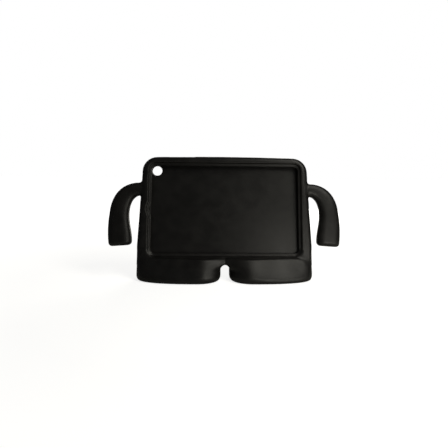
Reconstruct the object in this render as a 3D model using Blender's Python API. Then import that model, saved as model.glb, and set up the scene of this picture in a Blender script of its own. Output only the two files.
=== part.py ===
"""A free-standing moulded tablet case with two carrying arms and two legs.

The case is one soft moulding. It holds a tablet in landscape behind a thin lip, stands on the soles of its two
legs and leans back a little. Sizes are in metres, +Z is up and the screen faces -Y. The screen's own directions
are used for most of the shape: u to the right, v up the leaning face from the floor, w out of the screen.
"""

import math

import bmesh
import bpy
from mathutils import Matrix, Vector
from mathutils.geometry import interpolate_bezier

MM = 0.001

# The tablet that the pocket is cut for, lying in landscape
TABLET_WIDTH = 245.2 * MM
TABLET_HEIGHT = 149.4 * MM
TABLET_THICKNESS = 7.5 * MM
TABLET_CORNER = 9.0 * MM
TABLET_CLEARANCE = 0.4 * MM

# Stance
LEAN = math.radians(12.0)
LEG_HEIGHT = 41.6 * MM

# Walls round the pocket
SIDE_WALL_TOP = 11.7 * MM
SIDE_WALL_FOOT = 17.5 * MM
FLARE_FOOT_RISE = 12.0 * MM
TOP_WALL = 10.6 * MM
TOP_CROWN = 1.4 * MM
BACK_WALL = 6.6 * MM
TOP_CORNER = 24.0 * MM
WALL_FOOT = 17.0 * MM
WALL_FOOT_CORNER = 9.0 * MM
RIM_FILLET = 8.0 * MM

# Lip with its flat face, and the steep step from that face up to the bead round the screen
LIP_OVERLAP = 4.0 * MM
LIP_THICKNESS = 2.8 * MM
LIP_FACE = 4.0 * MM
LIP_FACE_RISE = 0.4 * MM
STEP_SPREAD = 1.2 * MM
STEP_RISE = 3.3 * MM
WINDOW_CORNER = 7.0 * MM
CUTTER_REACH = 8.0 * MM
CUTTER_MARGIN = 0.3 * MM

# Dip in the lip for the front camera, at the middle of the left side
LENS_DIP_DEPTH = 3.4 * MM
LENS_DIP_LENGTH = 26.0 * MM

# Arms, measured from the middle of the screen and from the side wall
ARM_TOP = 43.7 * MM
ARM_ROOT_WIDTH = 21.3 * MM
ARM_ELBOW_DROP = 52.0 * MM
ARM_REACH = 50.0 * MM
FINGER_GAP = 18.6 * MM
ARM_LENGTH = 102.6 * MM
HAND_WIDTH = 36.8 * MM
HAND_SWELL = 2.0 * MM
HAND_SLANT = math.radians(4.0)
ARM_ROOT_THICKNESS = 17.5 * MM
HAND_THICKNESS = 24.0 * MM
HAND_FILLET = 6.0 * MM
ARM_ROOT_DEPTH = 9.0 * MM
ARM_SECTION_POWER = 2.6
ARM_BEND_FULLNESS = 0.62

# Legs, whose level sections are skewed ovals about the middle of the wall's depth
LEG_CROWN_OFFSET = 45.0 * MM
LEG_OVERLAP = 13.0 * MM
SHOULDER_BULGE = 8.0 * MM
SHOULDER_ROUND = 8.0 * MM
SHOULDER_DROP = 0.4 * MM
TOE_BULGE = 15.0 * MM
TOE_HEIGHT = 9.0 * MM
HEEL_BULGE = 24.0 * MM
HEEL_HEIGHT = 72.0 * MM
HEEL_POWER = 1.5
LEG_BURY = 1.5 * MM
SIDE_INSET = 0.3 * MM
SOLE_FILLET_INSET = 5.5 * MM
SOLE_FILLET_HEIGHT = 8.0 * MM
OVAL_INNER_POWER = 2.25
OVAL_OUTER_POWER = 2.4

# Gap between the legs
NOTCH_WIDTH = 13.7 * MM
NOTCH_HEIGHT = 25.5 * MM
NOTCH_TRIM = 0.5 * MM
JOIN_MARGIN = 4.0 * MM

# Openings in the walls, placed from the tablet's edges
CAMERA_HOLE = 16.0 * MM
CAMERA_HOLE_FLARE = 2.8 * MM
CAMERA_FROM_SIDE = 10.8 * MM
CAMERA_FROM_TOP = 10.4 * MM
PORT_LENGTH = 15.0 * MM
PORT_WIDTH = 7.6 * MM
PORT_FLARE = 1.6 * MM
KEY_SLOT_LENGTH = 44.0 * MM
KEY_SLOT_WIDTH = 7.6 * MM
KEY_SLOT_FROM_SIDE = 52.0 * MM
JACK_HOLE = 7.6 * MM
JACK_FROM_TOP = 19.0 * MM

# Facets
CORNER_STEPS = 8
FILLET_STEPS = 5
OVAL_POINTS = 52
ARM_POINTS = 26
BEND_STEPS = 11
HAND_STEPS = 7
SHOULDER_STEPS = 6
SHIN_STEPS = 6
HEEL_STEPS = 7
DIP_STEPS = 14
RING_POINTS = 24
SHARP_ANGLE = math.radians(32.0)
MERGE_DISTANCE = 0.05 * MM

# What follows from the sizes above
POCKET_HALF_WIDTH = TABLET_WIDTH / 2 + TABLET_CLEARANCE
POCKET_HALF_HEIGHT = TABLET_HEIGHT / 2 + TABLET_CLEARANCE
POCKET_DEPTH = TABLET_THICKNESS + TABLET_CLEARANCE
WINDOW_HALF_WIDTH = TABLET_WIDTH / 2 - LIP_OVERLAP
WINDOW_HALF_HEIGHT = TABLET_HEIGHT / 2 - LIP_OVERLAP
SCREEN_MIDDLE = LEG_HEIGHT + WINDOW_HALF_HEIGHT
FRONT = LIP_THICKNESS + LIP_FACE_RISE + STEP_RISE
BEAD_EDGE = LIP_FACE + STEP_SPREAD
BACK = -(POCKET_DEPTH + BACK_WALL)
MIDDLE = (FRONT + BACK) / 2
HALF_DEPTH = (FRONT - BACK) / 2
HALF_WIDTH_TOP = POCKET_HALF_WIDTH + SIDE_WALL_TOP
HALF_WIDTH_FOOT = POCKET_HALF_WIDTH + SIDE_WALL_FOOT
BODY_TOP = SCREEN_MIDDLE + POCKET_HALF_HEIGHT + TOP_WALL
LEVEL_HALF_DEPTH = HALF_DEPTH / math.cos(LEAN)


def clear_scene():
    for old in list(bpy.data.objects):
        bpy.data.objects.remove(old)


def lean_matrix():
    """From the screen's directions (u, v, w), held as x, z and -y, to the leaning case."""
    return Matrix.Rotation(-LEAN, 4, "X")


def on_screen(u, v, w):
    return lean_matrix() @ Vector((u, -w, v))


def new_object(name, bm):
    bmesh.ops.recalc_face_normals(bm, faces=bm.faces)
    mesh = bpy.data.meshes.new(name)
    bm.to_mesh(mesh)
    bm.free()
    made = bpy.data.objects.new(name, mesh)
    bpy.context.scene.collection.objects.link(made)
    return made


def loft(name, rings):
    """A closed solid through rings of the same number of points, with flat ends."""
    bm = bmesh.new()
    rows = [[bm.verts.new(point) for point in ring] for ring in rings]
    count = len(rows[0])
    for lower, upper in zip(rows, rows[1:]):
        for i in range(count):
            j = (i + 1) % count
            bm.faces.new((lower[i], lower[j], upper[j], upper[i]))
    bm.faces.new(rows[0])
    bm.faces.new(rows[-1])
    return new_object(name, bm)


def arc(centre_u, centre_v, radius, start, end, steps):
    """Points of an arc in the screen's plane. Start and end are in quarter turns."""
    angles = [math.pi / 2 * (start + (end - start) * i / steps) for i in range(steps + 1)]
    return [(centre_u + radius * math.cos(a), centre_v + radius * math.sin(a)) for a in angles]


def body_outline():
    """The wall seen from the front: a tall shape with round top corners that widens towards the feet."""
    right = []
    corner = WALL_FOOT_CORNER
    right += arc(HALF_WIDTH_FOOT - corner, WALL_FOOT + corner, corner, -1, 0, CORNER_STEPS)
    right.append((HALF_WIDTH_FOOT, LEG_HEIGHT + FLARE_FOOT_RISE))
    right += arc(HALF_WIDTH_TOP - TOP_CORNER, BODY_TOP - TOP_CORNER, TOP_CORNER, 0, 1, CORNER_STEPS)
    halfway = (HALF_WIDTH_TOP - TOP_CORNER) / 2
    right.append((halfway, BODY_TOP + TOP_CROWN * (1 - (1 / 2) ** 2)))
    middle_top = [(0.0, BODY_TOP + TOP_CROWN)]
    left = [(-u, v) for u, v in reversed(right)]
    return right + middle_top + left


def wall():
    """The plain wall: its outline extruded through the case's depth, with both rims rounded."""
    bm = bmesh.new()
    face = bm.faces.new([bm.verts.new((u, -BACK, v)) for u, v in body_outline()])
    made = bmesh.ops.extrude_face_region(bm, geom=[face])
    front = [item for item in made["geom"] if isinstance(item, bmesh.types.BMVert)]
    bmesh.ops.translate(bm, verts=front, vec=Vector((0, -(FRONT - BACK), 0)))
    rims = [e for e in bm.edges if abs(e.verts[0].co.y - e.verts[1].co.y) < MM / 10]
    bmesh.ops.bevel(
        bm, geom=rims, offset=RIM_FILLET, segments=FILLET_STEPS, profile=0.5, affect="EDGES", clamp_overlap=True
    )
    bmesh.ops.transform(bm, matrix=lean_matrix(), verts=bm.verts)
    return new_object("tablet_case", bm)


def side_wall_u(v):
    """Half of the wall's width at height v up the face."""
    low = LEG_HEIGHT + FLARE_FOOT_RISE
    high = BODY_TOP - TOP_CORNER
    share = min(max((v - low) / (high - low), 0.0), 1.0)
    return HALF_WIDTH_FOOT + (HALF_WIDTH_TOP - HALF_WIDTH_FOOT) * share


def bend(start, end, out_handle, in_handle, steps):
    """A Bezier from start to end, without its last point."""
    points = interpolate_bezier(start, start + out_handle, end + in_handle, end, steps + 1)
    return [Vector(p) for p in points[:-1]]


def arm_rails():
    """The arm's outer and inner edge seen from the front, as equally many (u, v) points."""
    top = SCREEN_MIDDLE + ARM_TOP
    under = top - ARM_ROOT_WIDTH
    elbow = top - ARM_ELBOW_DROP
    end = top - ARM_LENGTH + HAND_FILLET
    side = side_wall_u((top + under) / 2)
    buried = Vector((side - ARM_ROOT_DEPTH, top)), Vector((side - ARM_ROOT_DEPTH, under))
    outer_start, inner_start = Vector((side, top)), Vector((side, under))
    outer_elbow, inner_elbow = Vector((side + ARM_REACH, elbow)), Vector((side + FINGER_GAP, elbow))
    slant = HAND_WIDTH / 2 * math.tan(HAND_SLANT)
    outer_end = Vector((side + ARM_REACH, end - slant))
    inner_end = Vector((side + ARM_REACH - HAND_WIDTH, end + slant))
    full = ARM_BEND_FULLNESS
    swell = Vector((HAND_SWELL, 0))
    hand = (end - elbow) / 3
    outer = bend(
        outer_start,
        outer_elbow,
        Vector((ARM_REACH * full, 0)),
        Vector((-HAND_SWELL, ARM_ELBOW_DROP * full)),
        BEND_STEPS,
    )
    outer += bend(outer_elbow, outer_end, swell + Vector((0, hand)), swell - Vector((0, hand)), HAND_STEPS)
    inner = bend(
        inner_start,
        inner_elbow,
        Vector((FINGER_GAP * full, 0)),
        Vector((0, (inner_start.y - elbow) * full)),
        BEND_STEPS,
    )
    inner += bend(inner_elbow, inner_end, Vector((0, hand)), Vector((0, -hand)), HAND_STEPS)
    return [buried[0], *outer, outer_end], [buried[1], *inner, inner_end]


def arm_section(outer, inner, thickness, inset):
    """A rounded section between the two rails, as points on the leaning case."""
    middle = (outer + inner) / 2
    half_width = (outer - inner) / 2
    half_width = half_width * (1 - inset / half_width.length)
    half_thickness = thickness / 2 - inset
    points = []
    for i in range(ARM_POINTS):
        angle = 2 * math.pi * i / ARM_POINTS
        across = math.copysign(abs(math.cos(angle)) ** (2 / ARM_SECTION_POWER), math.cos(angle))
        out = math.copysign(abs(math.sin(angle)) ** (2 / ARM_SECTION_POWER), math.sin(angle))
        at = middle + half_width * across
        points.append((at.x, at.y, MIDDLE + half_thickness * out))
    return points


def arm(name, side):
    """An arm that leaves the side wall, bends down and ends in a flat hand with a rounded edge."""
    outer, inner = arm_rails()
    last = len(outer) - 1
    sections = []
    for i, (o, n) in enumerate(zip(outer, inner)):
        thickness = ARM_ROOT_THICKNESS + (HAND_THICKNESS - ARM_ROOT_THICKNESS) * i / last
        sections.append(arm_section(o, n, thickness, 0.0))
    for i in range(1, FILLET_STEPS + 1):
        angle = math.pi / 2 * i / FILLET_STEPS
        down = Vector((0, -HAND_FILLET * math.sin(angle)))
        inset = HAND_FILLET * (1 - math.cos(angle))
        sections.append(arm_section(outer[-1] + down, inner[-1] + down, HAND_THICKNESS, inset))
    return loft(name, [[on_screen(side * u, v, w) for u, v, w in ring] for ring in sections])


def shoulder_height():
    """Height above the floor of the leg's shoulder, just below the bead round the screen."""
    return on_screen(0, LEG_HEIGHT - BEAD_EDGE - SHOULDER_DROP, FRONT).z


def smooth_share(value, low, high):
    """0 below low, 1 above high, and an S curve between them."""
    share = min(max((value - low) / (high - low), 0.0), 1.0)
    return share * share * (3 - 2 * share)


def leg_front(z):
    """Level half depth of a leg in front of the wall's middle: a round shoulder, then a slope to the toe."""
    below = shoulder_height() - z
    if below <= 0:
        return LEVEL_HALF_DEPTH - LEG_BURY
    turn = min(below / SHOULDER_ROUND, 1.0)
    slope = min(below / (shoulder_height() - TOE_HEIGHT), 1.0)
    shoulder = (SHOULDER_BULGE + LEG_BURY) * math.sqrt(1 - (1 - turn) ** 2)
    return LEVEL_HALF_DEPTH - LEG_BURY + shoulder + TOE_BULGE * math.sin(math.pi / 2 * slope)


def leg_back(z):
    """Level half depth of a leg behind the wall's middle: a heel that grows out of the back."""
    share = min(z / HEEL_HEIGHT, 1.0)
    return LEVEL_HALF_DEPTH - LEG_BURY + (HEEL_BULGE + LEG_BURY) * (1 - share**HEEL_POWER)


def leg_inner_end(z):
    """Distance from the middle to a leg's inner end: past the middle above the notch, so that the legs meet."""
    below = NOTCH_WIDTH / 2 - NOTCH_TRIM
    arch_start = NOTCH_HEIGHT - NOTCH_WIDTH / 2
    rise = smooth_share(z, arch_start - JOIN_MARGIN / 2, NOTCH_HEIGHT + JOIN_MARGIN)
    return below - (below + LEG_OVERLAP) * rise


def leg_outer_end(z):
    """Distance from the middle to a leg's outer end: near the side wall's own face, and inside it at the top."""
    buried = smooth_share(z, shoulder_height() / 2, shoulder_height())
    return HALF_WIDTH_FOOT - SIDE_INSET - LEG_BURY * buried


def leg_heights():
    """(height, inset) of each section of a leg, from the sole up."""
    top, turn = shoulder_height(), math.pi / 2
    stations = []
    for i in range(FILLET_STEPS):
        rise = math.sin(turn * i / FILLET_STEPS)
        drop = math.cos(turn * i / FILLET_STEPS)
        stations.append((SOLE_FILLET_HEIGHT * (1 - drop), SOLE_FILLET_INSET * (1 - rise)))
    straight = top - SHOULDER_ROUND - SOLE_FILLET_HEIGHT
    for i in range(SHIN_STEPS):
        stations.append((SOLE_FILLET_HEIGHT + straight * i / SHIN_STEPS, 0.0))
    for i in range(SHOULDER_STEPS + 1):
        stations.append((top - SHOULDER_ROUND * (1 - math.sin(turn * i / SHOULDER_STEPS)), 0.0))
    for i in range(1, HEEL_STEPS + 1):
        stations.append((top + (HEEL_HEIGHT - top) * i / HEEL_STEPS, 0.0))
    return stations


def leg_section(side, z, inset):
    """A level oval through one leg. Its widest place is nearer to the other leg than to the outside."""
    inner = LEG_CROWN_OFFSET - leg_inner_end(z) - inset
    outer = leg_outer_end(z) - LEG_CROWN_OFFSET - inset
    front = leg_front(z) - inset
    back = leg_back(z) - inset
    middle_y = z * math.tan(LEAN) - MIDDLE / math.cos(LEAN)
    points = []
    for i in range(OVAL_POINTS):
        angle = 2 * math.pi * i / OVAL_POINTS
        along, depth = math.cos(angle), math.sin(angle)
        power = OVAL_OUTER_POWER if along > 0 else OVAL_INNER_POWER
        reach = math.copysign(abs(along) ** (2 / power), along) * (outer if along > 0 else inner)
        out = math.copysign(abs(depth) ** (2 / power), depth) * (front if depth > 0 else back)
        points.append(Vector((side * (LEG_CROWN_OFFSET + reach), middle_y - out, z)))
    return points


def leg(name, side):
    """One leg with its foot in front, its heel behind and a flat sole on the floor."""
    return loft(name, [leg_section(side, z, inset) for z, inset in leg_heights()])


def rounded_rectangle(half_u, half_v, radius, steps):
    corners = []
    for turn, (su, sv) in enumerate(((1, -1), (1, 1), (-1, 1), (-1, -1))):
        corners.append(arc(su * (half_u - radius), sv * (half_v - radius), radius, turn - 1, turn, steps))
    return corners


def window_outline(grow):
    """The lip's inner edge about the middle of the screen, moved out by grow, with the dip on its left side."""
    half_u, half_v = WINDOW_HALF_WIDTH + grow, WINDOW_HALF_HEIGHT + grow
    low_right, high_right, high_left, low_left = rounded_rectangle(
        half_u, half_v, WINDOW_CORNER + grow, CORNER_STEPS
    )
    dip = []
    for i in range(DIP_STEPS + 1):
        v = LENS_DIP_LENGTH * (0.5 - i / DIP_STEPS)
        depth = LENS_DIP_DEPTH * math.cos(math.pi * v / LENS_DIP_LENGTH) ** 2
        dip.append((-half_u - depth, v))
    return low_right + high_right + high_left + dip + low_left


def window_cutter():
    """What the lip frames: straight through the lip, along its face, then up the step to the bead."""
    past_front = BEAD_EDGE + STEP_SPREAD * CUTTER_MARGIN / STEP_RISE
    levels = (
        (-TABLET_CLEARANCE, 0.0),
        (LIP_THICKNESS, 0.0),
        (LIP_THICKNESS + LIP_FACE_RISE, LIP_FACE),
        (FRONT + CUTTER_MARGIN, past_front),
        (FRONT + CUTTER_REACH, past_front),
    )
    rings = []
    for w, grow in levels:
        rings.append([on_screen(u, SCREEN_MIDDLE + v, w) for u, v in window_outline(grow)])
    return loft("window_cutter", rings)


def pocket_cutter():
    """The tablet's own space behind the lip."""
    outline = sum(
        rounded_rectangle(POCKET_HALF_WIDTH, POCKET_HALF_HEIGHT, TABLET_CORNER + TABLET_CLEARANCE, CORNER_STEPS),
        [],
    )
    rings = [[on_screen(u, SCREEN_MIDDLE + v, w) for u, v in outline] for w in (0.0, -POCKET_DEPTH)]
    return loft("pocket_cutter", rings)


def notch_cutter():
    """The gap between the legs, level from front to back, with a round top."""
    radius = NOTCH_WIDTH / 2
    outline = [(radius, -CUTTER_REACH), *arc(0, NOTCH_HEIGHT - radius, radius, 0, 2, 2 * CORNER_STEPS)]
    outline.append((-radius, -CUTTER_REACH))
    reach = 2 * LEVEL_HALF_DEPTH + SHOULDER_BULGE + TOE_BULGE + HEEL_BULGE
    rings = [[Vector((x, y, z)) for x, z in outline] for y in (-reach, reach)]
    return loft("notch_cutter", rings)


def slot_ring(length, width):
    """A slot's outline with round ends about its own middle, along its first direction."""
    radius = width / 2
    straight = (length - width) / 2
    ring = []
    for i in range(RING_POINTS):
        angle = 2 * math.pi * (i + 0.5) / RING_POINTS
        ring.append((math.copysign(straight, math.cos(angle)) + radius * math.cos(angle), radius * math.sin(angle)))
    return ring


def wall_opening(name, length, width, flare, place, near, far):
    """A slot through a wall, wider by flare at its far end. place(along, across, depth) puts its points."""
    out = math.copysign(1.0, far - near)
    past, wide = far + out * CUTTER_MARGIN, flare + CUTTER_MARGIN
    levels = ((near, 0.0), (far - out * flare, 0.0), (past, wide), (far + out * CUTTER_REACH, wide))
    rings = []
    for depth, grow in levels:
        ring = slot_ring(length + 2 * grow, width + 2 * grow)
        rings.append([place(a, b, depth) for a, b in ring])
    return loft(name, rings)


def wall_openings():
    """Holes for the rear camera, the charging plug, the side keys and the headset plug."""
    mid_tablet = -TABLET_THICKNESS / 2
    start = TABLET_CLEARANCE
    tablet_left, tablet_top = -TABLET_WIDTH / 2, SCREEN_MIDDLE + TABLET_HEIGHT / 2
    camera_u, camera_v = tablet_left + CAMERA_FROM_SIDE, tablet_top - CAMERA_FROM_TOP
    key_u = tablet_left + KEY_SLOT_FROM_SIDE
    jack_v = tablet_top - JACK_FROM_TOP
    return [
        wall_opening(
            "camera_hole_cutter", CAMERA_HOLE, CAMERA_HOLE, CAMERA_HOLE_FLARE,
            lambda a, b, w: on_screen(camera_u + a, camera_v + b, w), -POCKET_DEPTH + start, BACK,
        ),
        wall_opening(
            "charging_port_cutter", PORT_LENGTH, PORT_WIDTH, PORT_FLARE,
            lambda a, b, u: on_screen(u, SCREEN_MIDDLE + a, mid_tablet + b),
            POCKET_HALF_WIDTH - start, side_wall_u(SCREEN_MIDDLE),
        ),
        wall_opening(
            "key_slot_cutter", KEY_SLOT_LENGTH, KEY_SLOT_WIDTH, PORT_FLARE,
            lambda a, b, v: on_screen(key_u + a, v, mid_tablet + b),
            SCREEN_MIDDLE + POCKET_HALF_HEIGHT - start, BODY_TOP,
        ),
        wall_opening(
            "headset_hole_cutter", JACK_HOLE, JACK_HOLE, PORT_FLARE,
            lambda a, b, u: on_screen(u, jack_v + a, mid_tablet + b),
            -POCKET_HALF_WIDTH + start, -side_wall_u(jack_v),
        ),
    ]


def combine(body, helpers, operation):
    """Joins or cuts body with all its helper solids at once."""
    group = bpy.data.collections.new(f"{operation.lower()}_helpers")
    bpy.context.scene.collection.children.link(group)
    for helper in helpers:
        bpy.context.scene.collection.objects.unlink(helper)
        group.objects.link(helper)
    modifier = body.modifiers.new(group.name, "BOOLEAN")
    modifier.operation = operation
    modifier.solver = "EXACT"
    modifier.operand_type = "COLLECTION"
    modifier.collection = group


def rubber_material():
    """Matt black soft rubber with a fine moulded grain."""
    material = bpy.data.materials.new("soft_rubber")
    material.use_nodes = True
    shader = material.node_tree.nodes["Principled BSDF"]
    shader.inputs["Base Color"].default_value = (0.012, 0.012, 0.011, 1.0)
    shader.inputs["Roughness"].default_value = 0.6
    shader.inputs["Metallic"].default_value = 0.0
    material.diffuse_color = (0.012, 0.012, 0.011, 1.0)
    return material


def settle(body):
    """Keeps the result of the joins and cuts, sets it over the origin and shades its round stretches smooth."""
    evaluated = body.evaluated_get(bpy.context.evaluated_depsgraph_get())
    result = bpy.data.meshes.new_from_object(evaluated)
    bm = bmesh.new()
    bm.from_mesh(result)
    bmesh.ops.remove_doubles(bm, verts=bm.verts, dist=MERGE_DISTANCE)
    bmesh.ops.dissolve_degenerate(bm, edges=bm.edges, dist=MERGE_DISTANCE)
    bm.to_mesh(result)
    bm.free()
    groups = [modifier.collection for modifier in body.modifiers]
    body.modifiers.clear()
    body.data = result
    for group in groups:
        for helper in list(group.objects):
            bpy.data.objects.remove(helper)
        bpy.data.collections.remove(group)
    corners = [Vector(corner) for corner in body.bound_box]
    middle = (corners[0] + corners[6]) / 2
    result.transform(Matrix.Translation((-middle.x, -middle.y, 0)))
    result.shade_smooth()
    result.set_sharp_from_angle(angle=SHARP_ANGLE)


def build():
    clear_scene()
    case = wall()
    limbs = []
    for side, label in ((-1, "left"), (1, "right")):
        limbs += [leg(f"{label}_leg", side), arm(f"{label}_arm", side)]
    combine(case, limbs, "UNION")
    combine(case, [pocket_cutter(), window_cutter(), notch_cutter(), *wall_openings()], "DIFFERENCE")
    settle(case)
    case.data.materials.clear()
    case.data.materials.append(rubber_material())
    return case


build()
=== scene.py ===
"""Looks of a moulded tablet case that stands on two legs and carries two arms.

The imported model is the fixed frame. One soft moulding is modelled over its only node: the node's shape is welded and
rebuilt from even cells, its legs' faces are stood upright, its joins are run together as foam does in a mould, and
the whole is dressed in matt black foamed rubber. The studio is a pale floor, round soft lamps on the right and one
behind.
Lengths are in metres. The screen's own directions are u to the right, v up the leaning face and w out of it.
"""

import logging
import math
from dataclasses import dataclass
from enum import Enum

import bpy
import numpy as np
from mathutils import Matrix, Vector


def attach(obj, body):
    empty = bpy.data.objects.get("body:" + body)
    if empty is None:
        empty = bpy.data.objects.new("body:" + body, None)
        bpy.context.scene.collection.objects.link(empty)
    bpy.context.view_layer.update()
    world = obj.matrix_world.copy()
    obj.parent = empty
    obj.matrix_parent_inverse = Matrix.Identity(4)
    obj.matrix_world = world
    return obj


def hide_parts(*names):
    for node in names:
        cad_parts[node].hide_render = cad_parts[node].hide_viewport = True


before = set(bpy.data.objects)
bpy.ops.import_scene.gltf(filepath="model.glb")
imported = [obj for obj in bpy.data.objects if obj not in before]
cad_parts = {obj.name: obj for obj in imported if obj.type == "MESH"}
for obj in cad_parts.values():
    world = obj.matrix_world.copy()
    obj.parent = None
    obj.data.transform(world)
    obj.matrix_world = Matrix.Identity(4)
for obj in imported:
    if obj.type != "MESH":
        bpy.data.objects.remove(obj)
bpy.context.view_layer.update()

MM = 0.001
NODE = "tablet_case"
LOG = logging.getLogger("tablet_case_looks")


@dataclass(frozen=True)
class Stance:
    """How the case stands, as its CAD part has it.

    Attributes:
        lean: Angle by which the screen leans back.
        screen_middle: Height of the window's middle, measured up the leaning face.
        depth_shift: How far the CAD part's centring moved the case along Y.
        window_half_width: Half the window's width.
        window_half_height: Half the window's height.
        front: Depth of the frame's front face, out of the screen.
        back: Depth of the back wall's outer face.
        parting: Depth of the plane in which the mould's two halves meet, half way through the wall.
    """

    lean: float = math.radians(12.0)
    screen_middle: float = 112.3 * MM
    depth_shift: float = -12.954 * MM
    window_half_width: float = 118.6 * MM
    window_half_height: float = 70.7 * MM
    front: float = 6.5 * MM
    back: float = -14.5 * MM
    parting: float = -4.0 * MM

    def matrix(self) -> Matrix:
        """Turns (u, -w, v about the window's middle) into the row frame."""
        shift = Matrix.Translation((0.0, self.depth_shift, 0.0))
        turn = Matrix.Rotation(-self.lean, 4, "X")
        return shift @ turn @ Matrix.Translation((0.0, 0.0, self.screen_middle))

    def wall_front(self, heights: np.ndarray) -> np.ndarray:
        """Gives the depth of the wall's front face at heights above the floor."""
        return self.depth_shift + heights * math.tan(self.lean) - self.front / math.cos(self.lean)

    def screen_places(self, points: np.ndarray) -> tuple[np.ndarray, np.ndarray, np.ndarray]:
        """Gives points of the row frame in the screen's directions.

        Args:
            points: Places in the row frame, one row each.

        Returns:
            Their u, v and w, with v from the window's middle.
        """
        back = np.array(self.matrix().inverted())
        local = points @ back[:3, :3].T + back[:3, 3]
        return local[:, 0], local[:, 2], -local[:, 1]


STANCE = Stance()


def linear(code: str) -> tuple[float, float, float, float]:
    """Turns a colour as written for a screen into the linear one that shaders take.

    Args:
        code: sRGB hex value such as "#1b1a19".

    Returns:
        Linear red, green, blue and an alpha of 1.
    """
    parts = [int(code[i : i + 2], 16) / 255 for i in (1, 3, 5)]
    made = [p / 12.92 if p <= 0.04045 else ((p + 0.055) / 1.055) ** 2.4 for p in parts]
    return made[0], made[1], made[2], 1.0


def add_node(material_tree: bpy.types.NodeTree, kind: str, links: dict | None = None, **settings) -> bpy.types.Node:
    """Adds one node with its settings, its socket values and what feeds it.

    Args:
        material_tree: The tree that the node goes into.
        kind: The node's type name.
        links: Input name or number to a plain value, or to the output socket that feeds it.
        **settings: Properties of the node itself.

    Returns:
        The new node.
    """
    made = material_tree.nodes.new(kind)
    for name, value in settings.items():
        setattr(made, name, value)
    for name, value in (links or {}).items():
        if isinstance(value, bpy.types.NodeSocket):
            material_tree.links.new(value, made.inputs[name])
        else:
            made.inputs[name].default_value = value
    return made


def fresh_material(name: str) -> tuple[bpy.types.Material, bpy.types.NodeTree]:
    """Makes a material with an empty node tree."""
    material = bpy.data.materials.new(name)
    material.use_nodes = True
    material.node_tree.nodes.clear()
    return material, material.node_tree


class Attribute(Enum):
    """Names of the numbers that the case's mesh carries for its material."""

    OUTSIDE = "outside"
    EDGE = "edge"


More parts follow.
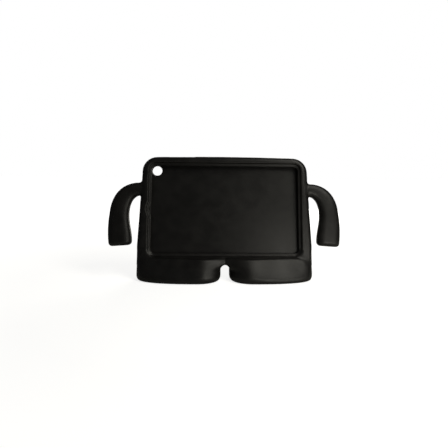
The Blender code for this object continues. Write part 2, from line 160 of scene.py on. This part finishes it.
@dataclass(frozen=True)
class FoamedRubber:
    """Matt black foamed rubber, moulded in a blasted steel tool.

    Its skin is closed, so it has no open pores: the tool's blasting leaves a fine even grain, the skin's slow
    waves break up broad highlights, and rubbed edges turn a little greyer. A fine raised line runs round the
    outside where the tool's two halves met.

    Attributes:
        body: Colour of the skin.
        rubbed: Colour of the rubbed edges.
        roughness: Typical roughness of such a skin.
        grain: Spacing of the blasted grain. The real one is about 0.2 mm, which is too fine to show, so it is
            drawn coarser.
        wave: Spacing of the skin's slow waves.
        parting_width: Width of the mould's parting line.
        smoother: How much the roughness falls where a wave is low.
        rougher: How much it rises where a wave is high.
        mottle: Most of the rubbed colour that the waves bring.
        line_mottle: Share of the rubbed colour on the parting line.
        grain_depth: Depth of the grain.
        wave_depth: Depth of the waves.
        line_height: How far the parting line stands proud.
        refraction: Index of refraction, typical for rubber.
    """

    body: str = "#161514"
    rubbed: str = "#2b2a28"
    roughness: float = 0.40
    grain: float = 0.9 * MM
    wave: float = 16.0 * MM
    parting_width: float = 0.7 * MM
    smoother: float = 0.04
    rougher: float = 0.05
    mottle: float = 0.25
    line_mottle: float = 0.5
    grain_depth: float = 0.06 * MM
    wave_depth: float = 0.25 * MM
    line_height: float = 0.15 * MM
    refraction: float = 1.5

    def build(self) -> bpy.types.Material:
        """Makes the node material.

        Returns:
            The finished material.
        """
        material, tree = fresh_material("black_foamed_rubber")
        place = add_node(tree, "ShaderNodeTexCoord").outputs["Object"]
        edge = add_node(tree, "ShaderNodeAttribute", attribute_name=Attribute.EDGE.value).outputs["Fac"]
        waves = add_node(
            tree, "ShaderNodeTexNoise",
            {"Vector": place, "Scale": 1 / self.wave, "Detail": 2.0, "Roughness": 0.5},
        ).outputs["Fac"]
        grain = add_node(
            tree, "ShaderNodeTexNoise",
            {"Vector": place, "Scale": 1 / self.grain, "Detail": 3.0, "Roughness": 0.6},
        ).outputs["Fac"]
        mottle = add_node(
            tree, "ShaderNodeMapRange",
            {"Value": waves, "From Min": 0.35, "From Max": 0.65, "To Min": 0.0, "To Max": self.mottle},
        ).outputs["Result"]
        line = self.parting_line(tree, place)
        used = add_node(tree, "ShaderNodeMath", {0: edge, 1: mottle}, operation="ADD").outputs["Value"]
        worn = add_node(
            tree, "ShaderNodeMath", {0: line, 1: self.line_mottle, 2: used}, operation="MULTIPLY_ADD", use_clamp=True
        ).outputs["Value"]
        colour = add_node(
            tree, "ShaderNodeMix",
            {"Factor": worn, "A": linear(self.body), "B": linear(self.rubbed)},
            data_type="RGBA",
        )
        rough = add_node(
            tree, "ShaderNodeMapRange",
            {"Value": waves, "From Min": 0.3, "From Max": 0.7,
             "To Min": self.roughness - self.smoother, "To Max": self.roughness + self.rougher},
        ).outputs["Result"]
        skin = add_node(
            tree, "ShaderNodeBump", {"Height": grain, "Strength": 0.35, "Distance": self.grain_depth}
        ).outputs["Normal"]
        swell = add_node(
            tree, "ShaderNodeBump",
            {"Height": waves, "Normal": skin, "Strength": 0.25, "Distance": self.wave_depth},
        ).outputs["Normal"]
        raised = add_node(
            tree, "ShaderNodeBump",
            {"Height": line, "Normal": swell, "Strength": 0.6, "Distance": self.line_height},
        ).outputs["Normal"]
        shader = add_node(
            tree, "ShaderNodeBsdfPrincipled",
            {"Base Color": colour.outputs["Result"], "Roughness": rough, "Normal": raised, "IOR": self.refraction},
        )
        add_node(tree, "ShaderNodeOutputMaterial", {"Surface": shader.outputs["BSDF"]})
        return material

    def parting_line(self, tree: bpy.types.NodeTree, place: bpy.types.NodeSocket) -> bpy.types.NodeSocket:
        """Draws the line in which the mould's halves met, on the outside alone.

        Args:
            tree: The material's nodes.
            place: The point that is shaded.

        Returns:
            1 on the line and 0 away from it.
        """
        outside = add_node(tree, "ShaderNodeAttribute", attribute_name=Attribute.OUTSIDE.value).outputs["Fac"]
        screen_normal = (0.0, -math.cos(STANCE.lean), math.sin(STANCE.lean))
        on_plane = (0.0, STANCE.depth_shift - STANCE.parting / math.cos(STANCE.lean), 0.0)
        from_plane = add_node(
            tree, "ShaderNodeVectorMath", {0: place, 1: on_plane}, operation="SUBTRACT"
        ).outputs["Vector"]
        depth = add_node(
            tree, "ShaderNodeVectorMath", {0: from_plane, 1: screen_normal}, operation="DOT_PRODUCT"
        ).outputs["Value"]
        away = add_node(tree, "ShaderNodeMath", {0: depth}, operation="ABSOLUTE").outputs["Value"]
        return add_node(
            tree, "ShaderNodeMapRange",
            {"Value": away, "From Min": self.parting_width / 2, "From Max": 0.0, "To Min": 0.0, "To Max": outside},
        ).outputs["Result"]


def share(values: np.ndarray, low: float, high: float) -> np.ndarray:
    """Gives 0 below low, 1 above high and a soft step between them.

    Args:
        values: Numbers to place between low and high.
        low: Where the step begins. It may be the larger of the two.
        high: Where the step ends.

    Returns:
        One share for each value.
    """
    part = np.clip((values - low) / (high - low), 0.0, 1.0)
    return part * part * (3 - 2 * part)


@dataclass
class Skin:
    """The points of a mesh and their neighbours, as arrays.

    Attributes:
        mesh: The mesh that is read and written.
    """

    mesh: bpy.types.Mesh

    def __post_init__(self) -> None:
        """Reads the points and counts each one's neighbours."""
        self.count = len(self.mesh.vertices)
        flat = np.empty(self.count * 3)
        self.mesh.vertices.foreach_get("co", flat)
        self.points = flat.reshape(-1, 3)
        ends = np.empty(len(self.mesh.edges) * 2, dtype=np.int64)
        self.mesh.edges.foreach_get("vertices", ends)
        self.ends = ends.reshape(-1, 2)
        self.degree = np.bincount(self.ends.ravel(), minlength=self.count)

    def around(self, values: np.ndarray) -> np.ndarray:
        """Averages each point's neighbours.

        Args:
            values: One row of numbers for each point.

        Returns:
            One row of averages for each point.
        """
        first, second = self.ends.T
        columns = []
        for column in values.T:
            total = np.bincount(first, column[second], self.count) + np.bincount(second, column[first], self.count)
            columns.append(total / self.degree)
        return np.stack(columns, axis=1)

    def relax(self, weights: np.ndarray, rounds: int) -> None:
        """Draws points towards their neighbours.

        Args:
            weights: How far each point goes in one round, from 0 to 1.
            rounds: How often it goes.
        """
        near = weights > 0.001
        for _ in range(rounds):
            self.points[near] += (self.around(self.points) - self.points)[near] * weights[near, None]

    def normals(self) -> np.ndarray:
        """Gives each point's outward direction."""
        flat = np.empty(self.count * 3)
        self.mesh.vertices.foreach_get("normal", flat)
        return flat.reshape(-1, 3)

    def write(self) -> None:
        """Puts the moved points back into the mesh."""
        self.mesh.vertices.foreach_set("co", self.points.ravel())
        self.mesh.update()


@dataclass(frozen=True)
class LegFront:
    """A leg's front seen from the side: a round shoulder, then a slope to the toe.

    Attributes:
        bulge: How far the shoulder comes forward.
        rounding: Height in which it does.
        toe: How much further forward the toe is.
        straight: Share of the slope that runs straight. The rest bends down to upright at the toe.
        bury: How far the shoulder's start lies inside the wall.
        fall: Height from the shoulder to the toe.
    """

    bulge: float
    rounding: float
    toe: float
    straight: float = 0.0
    bury: float = 1.5 * MM
    fall: float = 27.56 * MM

    def reach(self, below: np.ndarray) -> np.ndarray:
        """Gives how far in front of the wall the leg is.

        Args:
            below: Distances below the shoulder.

        Returns:
            One reach for each.
        """
        turn = np.clip(below / self.rounding, 0.0, 1.0)
        slope = np.clip(below / self.fall, 0.0, 1.0)
        shoulder = self.bulge * np.sqrt(1 - (1 - turn) ** 2)
        bent = np.sin(math.pi / 2 * slope)
        return shoulder - self.bury + self.toe * (bent + self.straight * (slope - bent))


@dataclass
class MouldedCase:
    """The one soft moulding: frame, lip, back, arms and legs.

    Attributes:
        name: Name of the finished piece.
        weld: Points nearer than this become one.
        voxel: Size of the cells that the shape is rebuilt from.
        ease: How far a smoothing round moves a point towards its neighbours.
        ease_rounds: Rounds of smoothing over the whole case.
        shin_rounds: Rounds of smoothing over the legs' faces once they stand upright.
        join_rounds: Rounds of smoothing where limbs run into the frame.
        join_reach: How far such a join spreads from its middle.
        arm_root_high: Height of an arm's upper join up the face, from the window's middle.
        arm_root_low: Height of its lower join.
        wall_half_width: Half the frame's width at the arms.
        shoulder: Height above the floor of a leg's shoulder.
        arch_top: Height above the floor of the gap between the legs.
        arch_half_width: Half that gap's width.
        solid_leg: Front of the CAD legs from the side.
        face_leg: Front of the finished legs from the side.
        crown_gain: How far a leg's inner stretch comes forward, so that the face turns outwards.
        crown: From the middle, where that stretch begins, is fullest and ends.
        flank_loss: How far its outer stretch goes back.
        flank: From the middle, where that stretch begins, is full, fades and ends.
        turn_height: Height above the floor from which a leg's face is fully turned.
        least_proud: A point counts as a leg's where it is this far in front of the wall.
        least_below: It also lies this far below the shoulder.
        least_reach: Least reach of the CAD leg that a move is worked out from.
        face_reach: Reach at which a point begins to belong to the face, and at which it does so fully.
        sole_edge: Heights between which the smoothing of the face fades in, so that the sole's edge stays.
        shoulder_edge: Depths below the shoulder between which it does, so that the shoulder stays tight.
        shoulder_smoothing: Share of the smoothing that the shoulder still gets.
        foot_join: From the middle, where the shoulder's outer join begins and is full.
        foot_join_reach: Distances from the shoulder at which that join ends and is full.
        arch_join: Share of smoothing on the ring round the gap between the legs.
        arch_join_reach: Distances from the ring at which that ends and is full.
        arch_join_fade: Height over the gap in which it fades.
        wear_rounds: Rounds of smoothing that the wear is measured against.
        wear: How proud a point stands where wear begins, and where it is full.
        rim: How far the pocket's surroundings without a parting line reach beyond the window.
        most_triangles: Triangles that the finished piece may have.
    """

    name: str = "moulded_case"
    weld: float = 0.01 * MM
    voxel: float = 0.8 * MM
    ease: float = 0.5
    ease_rounds: int = 5
    shin_rounds: int = 24
    join_rounds: int = 60
    join_reach: float = 9.0 * MM
    arm_root_high: float = 43.7 * MM
    arm_root_low: float = 22.4 * MM
    wall_half_width: float = 135.6 * MM
    shoulder: float = 36.56 * MM
    arch_top: float = 25.5 * MM
    arch_half_width: float = 6.85 * MM
    solid_leg: LegFront = LegFront(9.5 * MM, 8.0 * MM, 15.0 * MM)
    face_leg: LegFront = LegFront(14.0 * MM, 1.8 * MM, 10.3 * MM, 0.7)
    crown_gain: float = 2.6 * MM
    crown: tuple[float, float, float] = (9.0 * MM, 34.0 * MM, 66.0 * MM)
    flank_loss: float = 3.5 * MM
    flank: tuple[float, float, float, float] = (34.0 * MM, 100.0 * MM, 112.0 * MM, 139.0 * MM)
    turn_height: float = 24.0 * MM
    least_proud: float = 0.3 * MM
    least_below: float = 0.2 * MM
    least_reach: float = 0.5 * MM
    face_reach: tuple[float, float] = (6.0 * MM, 12.0 * MM)
    sole_edge: tuple[float, float] = (3.0 * MM, 9.0 * MM)
    shoulder_edge: tuple[float, float] = (1.0 * MM, 5.0 * MM)
    shoulder_smoothing: float = 0.15
    foot_join: tuple[float, float] = (112.0 * MM, 124.0 * MM)
    foot_join_reach: tuple[float, float] = (14.0 * MM, 6.0 * MM)
    arch_join: float = 0.35
    arch_join_reach: tuple[float, float] = (4.0 * MM, 1.0 * MM)
    arch_join_fade: float = 6.0 * MM
    wear_rounds: int = 6
    wear: tuple[float, float] = (0.02 * MM, 0.22 * MM)
    rim: float = 8.0 * MM
    most_triangles: int = 190_000

    def build(self) -> bpy.types.Object:
        """Models the moulding from the CAD node.

        Returns:
            The finished piece, in place of the node.
        """
        case = self.copy_node()
        self.rebuild(case)
        self.sculpt(case)
        self.thin(case)
        self.mark(case)
        case.data.materials.clear()
        case.data.materials.append(FoamedRubber().build())
        self.attach(case)
        return case

    def copy_node(self) -> bpy.types.Object:
        """Copies the CAD node and welds its loose triangles.

        Returns:
            A closed solid of the same shape.
        """
        bpy.ops.object.select_all(action="DESELECT")
        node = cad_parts[NODE]
        case = node.copy()
        case.data = node.data.copy()
        case.name = self.name
        case.parent = None
        case.matrix_world = Matrix.Identity(4)
        bpy.context.scene.collection.objects.link(case)
        bpy.context.view_layer.objects.active = case
        case.select_set(True)
        bpy.ops.object.mode_set(mode="EDIT")
        bpy.ops.mesh.select_all(action="SELECT")
        bpy.ops.mesh.remove_doubles(threshold=self.weld)
        bpy.ops.object.mode_set(mode="OBJECT")
        return case

    def rebuild(self, case: bpy.types.Object) -> None:
        """Rebuilds the solid from even cells.

        Args:
            case: The welded solid.
        """
        remesh = case.modifiers.new("even_cells", "REMESH")
        remesh.mode = "VOXEL"
        remesh.voxel_size = self.voxel
        bpy.ops.object.modifier_apply(modifier=remesh.name)

    def sculpt(self, case: bpy.types.Object) -> None:
        """Runs the limbs into the frame as foam does in a mould, and stands the legs' faces upright.

        Args:
            case: The evenly divided solid.
        """
        skin = Skin(case.data)
        skin.relax(np.full(skin.count, self.ease), self.ease_rounds)
        fronts = self.stand_shins(skin)
        skin.relax(fronts * self.ease, self.shin_rounds)
        skin.relax(self.joins(skin) * self.ease, self.join_rounds)
        skin.write()

    def stand_shins(self, skin: Skin) -> np.ndarray:
        """Turns the CAD legs' long slope into an upright face under a tight shoulder.

        Args:
            skin: The case's points.

        Returns:
            How much each point belongs to such a face, from 0 to 1.
        """
        y, z = skin.points[:, 1], skin.points[:, 2]
        wall_front = STANCE.wall_front(z)
        proud = wall_front - y
        below = self.shoulder - z
        now = self.solid_leg.reach(below)
        wanted = self.face_leg.reach(below)
        side = np.abs(skin.points[:, 0])
        begins, fullest, ends = self.crown
        crown = share(side, begins, fullest) * share(side, ends, fullest)
        begins, full, fades, ends = self.flank
        flank = share(side, begins, full) * share(side, ends, fades)
        turned = (self.crown_gain * crown - self.flank_loss * flank) * share(z, 0.0, self.turn_height)
        leg = (proud > self.least_proud) & (below > self.least_below)
        reach = proud * wanted / np.maximum(now, self.least_reach)
        y[leg] = (wall_front - reach - turned * share(reach, 0.0, self.face_reach[1]))[leg]
        face = share(reach, *self.face_reach) * share(z, *self.sole_edge)
        face *= self.shoulder_smoothing + (1 - self.shoulder_smoothing) * share(below, *self.shoulder_edge)
        return np.where(leg, face, 0.0)

    def joins(self, skin: Skin) -> np.ndarray:
        """Says how much each point belongs to a soft join.

        Args:
            skin: The case's points.

        Returns:
            A share from 0 to 1 for each point.
        """
        u, v, _ = STANCE.screen_places(skin.points)
        z = skin.points[:, 2]
        side = np.abs(u)
        weight = np.zeros(skin.count)
        for height in (self.arm_root_high, self.arm_root_low):
            away = np.hypot(side - self.wall_half_width, v - height)
            weight = np.maximum(weight, share(away, self.join_reach, 0.3 * self.join_reach))
        outer = share(side, *self.foot_join)
        away = np.abs(z - self.shoulder)
        weight = np.maximum(weight, outer * share(away, *self.foot_join_reach))
        spring = self.arch_top - self.arch_half_width
        ring = np.abs(np.hypot(u, np.maximum(z - spring, 0.0)) - self.arch_half_width)
        low = share(z, self.arch_top + self.arch_join_fade, self.arch_top)
        return np.maximum(weight, self.arch_join * low * share(ring, *self.arch_join_reach))

    def thin(self, case: bpy.types.Object) -> None:
        """Thins the flat stretches and shades the whole case smooth.

        Args:
            case: The finished shape.
        """
        case.data.calc_loop_triangles()
        triangles = len(case.data.loop_triangles)
        fewer = case.modifiers.new("thin", "DECIMATE")
        fewer.ratio = min(1.0, self.most_triangles / triangles)
        bpy.ops.object.modifier_apply(modifier=fewer.name)
        bpy.ops.object.shade_smooth()
        LOG.info("%s thinned from %d to %d triangles", case.name, triangles, len(case.data.polygons))

    def mark(self, case: bpy.types.Object) -> None:
        """Writes how far each point stands proud of its surroundings, for the wear, and where the outside is.

        Args:
            case: The finished mesh.
        """
        skin = Skin(case.data)
        soft = skin.points
        for _ in range(self.wear_rounds):
            soft = soft + (skin.around(soft) - soft) * self.ease
        proud = ((skin.points - soft) * skin.normals()).sum(axis=1)
        edge = case.data.attributes.new(Attribute.EDGE.value, "FLOAT", "POINT")
        edge.data.foreach_set("value", share(proud, *self.wear))
        u, v, _ = STANCE.screen_places(skin.points)
        across = np.abs(u) < STANCE.window_half_width + self.rim
        along = np.abs(v) < STANCE.window_half_height + self.rim
        pocket = across & along
        outside = case.data.attributes.new(Attribute.OUTSIDE.value, "FLOAT", "POINT")
        outside.data.foreach_set("value", np.where(pocket, 0.0, 1.0))

    def attach(self, case: bpy.types.Object) -> None:
        """Rides the piece on the root and lets it stand for the CAD node."""
        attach(case, "root")
        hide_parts(NODE)


@dataclass(frozen=True)
class RoundLamp:
    """A round soft lamp that is aimed at the legs.

    Attributes:
        name: Name of the lamp.
        azimuth: Direction from which it shines in degrees, 0 in front of the screen and 90 to its right.
        elevation: How far above the floor it stands, in degrees.
        distance: From the point that it is aimed at.
        radiance: How bright its face is.
        spread: Its width as a share of the distance.
        middle: The point that it is aimed at.
        tint: Colour of its light, a little warm.
    """

    name: str
    azimuth: float
    elevation: float
    distance: float
    radiance: float
    spread: float = 0.4
    middle: tuple[float, float, float] = (0.06, -0.03, 0.04)
    tint: tuple[float, float, float] = (1.0, 0.97, 0.87)

    def hang(self) -> None:
        """Adds the lamp to the scene."""
        turn, rise = math.radians(self.azimuth), math.radians(self.elevation)
        way = Vector((math.sin(turn) * math.cos(rise), -math.cos(turn) * math.cos(rise), math.sin(rise)))
        light = bpy.data.lights.new(self.name, "AREA")
        light.shape = "DISK"
        light.size = self.spread * self.distance
        light.energy = self.radiance * math.pi * math.pi * (light.size / 2) ** 2
        light.color = self.tint
        lamp = bpy.data.objects.new(self.name, light)
        bpy.context.scene.collection.objects.link(lamp)
        lamp.visible_camera = False
        lamp.location = Vector(self.middle) + way * self.distance
        lamp.rotation_mode = "QUATERNION"
        lamp.rotation_quaternion = (-way).to_track_quat("-Z", "Y")


LAMPS = (
    RoundLamp("low_front_lamp", 20.0, 4.0, 0.32, 2.90),
    RoundLamp("low_middle_lamp", 35.0, 4.0, 0.32, 0.60),
    RoundLamp("low_side_lamp", 50.0, 4.0, 0.32, 1.90),
    RoundLamp("raised_front_lamp", 20.0, 22.0, 0.32, 0.60),
    RoundLamp("high_front_lamp", 35.0, 42.0, 0.80, 1.75),
    RoundLamp("high_side_lamp", 50.0, 42.0, 0.80, 1.60),
    RoundLamp("upper_lamp", 50.0, 65.0, 0.80, 2.75),
    RoundLamp("back_lamp", 170.0, 15.0, 1.10, 3.0, 0.7),
)


@dataclass
class Studio:
    """Pale floor, soft lamps, white surroundings and the camera.

    Attributes:
        frame_pixels: Side of the photograph's frame, in pixels.
        focal_pixels: Focal length that was fitted to the photograph, in pixels.
        centre_x: Column where the lens axis meets the photograph.
        centre_y: Row where it does.
        distance: From the camera to the window's middle.
        pitch: How far the camera looks from below the screen's normal.
        yaw: How far it looks from the side.
        roll: How far it is turned about its own axis.
        sensor: Width of the camera's sensor, in millimetres.
        floor_half: Half the floor's side.
        paper: Colour of the floor as the case's light meets it.
        seen_paper: Colour of the floor as the camera sees it.
        paper_white: Distances from the case at which the floor's white begins to grow and is full.
        paper_glow: Strength of the floor's white near the case and far from it.
        room: Strength of the dim room.
    """

    frame_pixels: float = 448.0
    focal_pixels: float = 370.2
    centre_x: float = 225.1
    centre_y: float = 209.5
    distance: float = 0.600
    pitch: float = math.radians(5.77)
    yaw: float = math.radians(1.85)
    roll: float = math.radians(0.25)
    sensor: float = 36.0
    floor_half: float = 6.0
    paper: str = "#c4c4c2"
    seen_paper: str = "#f2f2f0"
    paper_white: tuple[float, float] = (0.30, 0.9)
    paper_glow: tuple[float, float] = (0.80, 1.0)
    room: float = 0.05

    def build(self) -> None:
        """Sets up everything around the case."""
        self.add_camera()
        self.add_floor()
        self.add_lamps()
        self.add_world()
        view = bpy.context.scene.view_settings
        view.view_transform = "Standard"

    def add_camera(self) -> None:
        """Puts the camera where the photograph's stood."""
        data = bpy.data.cameras.new("camera")
        data.sensor_width = self.sensor
        data.lens = self.focal_pixels / self.frame_pixels * self.sensor
        data.shift_x = (self.frame_pixels / 2 - self.centre_x) / self.frame_pixels
        data.shift_y = (self.centre_y - self.frame_pixels / 2) / self.frame_pixels
        data.dof.use_dof = False
        camera = bpy.data.objects.new("camera", data)
        bpy.context.scene.collection.objects.link(camera)
        turn = (
            Matrix.Rotation(self.roll, 4, "Y")
            @ Matrix.Rotation(-self.pitch, 4, "X")
            @ Matrix.Rotation(self.yaw, 4, "Z")
        )
        back_off = Matrix.Translation((0.0, -self.distance, 0.0)) @ Matrix.Rotation(math.radians(90), 4, "X")
        camera.matrix_world = STANCE.matrix() @ turn.transposed() @ back_off
        bpy.context.scene.camera = camera

    def add_floor(self) -> None:
        """Lays a pale floor under the soles that stays white beyond the case's shadow."""
        bpy.ops.object.select_all(action="DESELECT")
        bpy.ops.mesh.primitive_plane_add(size=2 * self.floor_half, location=(0.0, 0.0, 0.0))
        floor = bpy.context.object
        floor.name = "floor"
        material, tree = fresh_material("white_paper")
        seen = add_node(tree, "ShaderNodeLightPath")
        place = add_node(tree, "ShaderNodeTexCoord").outputs["Object"]
        away = add_node(tree, "ShaderNodeVectorMath", {0: place}, operation="LENGTH").outputs["Value"]
        level = add_node(
            tree, "ShaderNodeMapRange",
            {"Value": away, "From Min": self.paper_white[0], "From Max": self.paper_white[1],
             "To Min": self.paper_glow[0], "To Max": self.paper_glow[1]},
        ).outputs["Result"]
        paper = add_node(tree, "ShaderNodeBsdfDiffuse", {"Color": linear(self.paper)})
        seen_paper = add_node(tree, "ShaderNodeBsdfDiffuse", {"Color": linear(self.seen_paper)})
        glow = add_node(tree, "ShaderNodeEmission", {"Color": (1.0, 1.0, 1.0, 1.0), "Strength": level})
        both = add_node(tree, "ShaderNodeAddShader", {0: seen_paper.outputs["BSDF"], 1: glow.outputs["Emission"]})
        shown = add_node(
            tree, "ShaderNodeMixShader",
            {"Fac": seen.outputs["Is Camera Ray"], 1: paper.outputs["BSDF"], 2: both.outputs["Shader"]},
        )
        add_node(tree, "ShaderNodeOutputMaterial", {"Surface": shown.outputs["Shader"]})
        floor.data.materials.append(material)

    def add_lamps(self) -> None:
        """Puts four low lamps to the right of the legs, three higher ones there and one behind."""
        for lamp in LAMPS:
            lamp.hang()

    def add_world(self) -> None:
        """Makes the surroundings white to the eye and a dim room elsewhere.

        The case has neither metal nor glass. Its gloss sees the dim room, because a white one would turn the
        matt black grey all round, which it isn't in the photograph.
        """
        world = bpy.data.worlds.new("surroundings")
        world.use_nodes = True
        tree = world.node_tree
        tree.nodes.clear()
        seen = add_node(tree, "ShaderNodeLightPath")
        room = add_node(tree, "ShaderNodeBackground", {"Color": (1.0, 1.0, 1.0, 1.0), "Strength": self.room})
        white = add_node(tree, "ShaderNodeBackground", {"Color": (1.0, 1.0, 1.0, 1.0), "Strength": 1.0})
        straight = add_node(
            tree, "ShaderNodeMath",
            {0: seen.outputs["Is Camera Ray"], 1: seen.outputs["Is Transmission Ray"]},
            operation="MAXIMUM",
        ).outputs["Value"]
        shown = add_node(
            tree, "ShaderNodeMixShader",
            {"Fac": straight, 1: room.outputs["Background"], 2: white.outputs["Background"]},
        )
        add_node(tree, "ShaderNodeOutputWorld", {"Surface": shown.outputs["Shader"]})
        bpy.context.scene.world = world


def main() -> None:
    """Builds the case and the studio and reports each piece."""
    logging.basicConfig(level=logging.INFO, format="%(name)s: %(message)s")
    case = MouldedCase().build()
    LOG.info("%s: %d triangles", case.name, len(case.data.polygons))
    Studio().build()


if __name__ == "__main__":
    main()
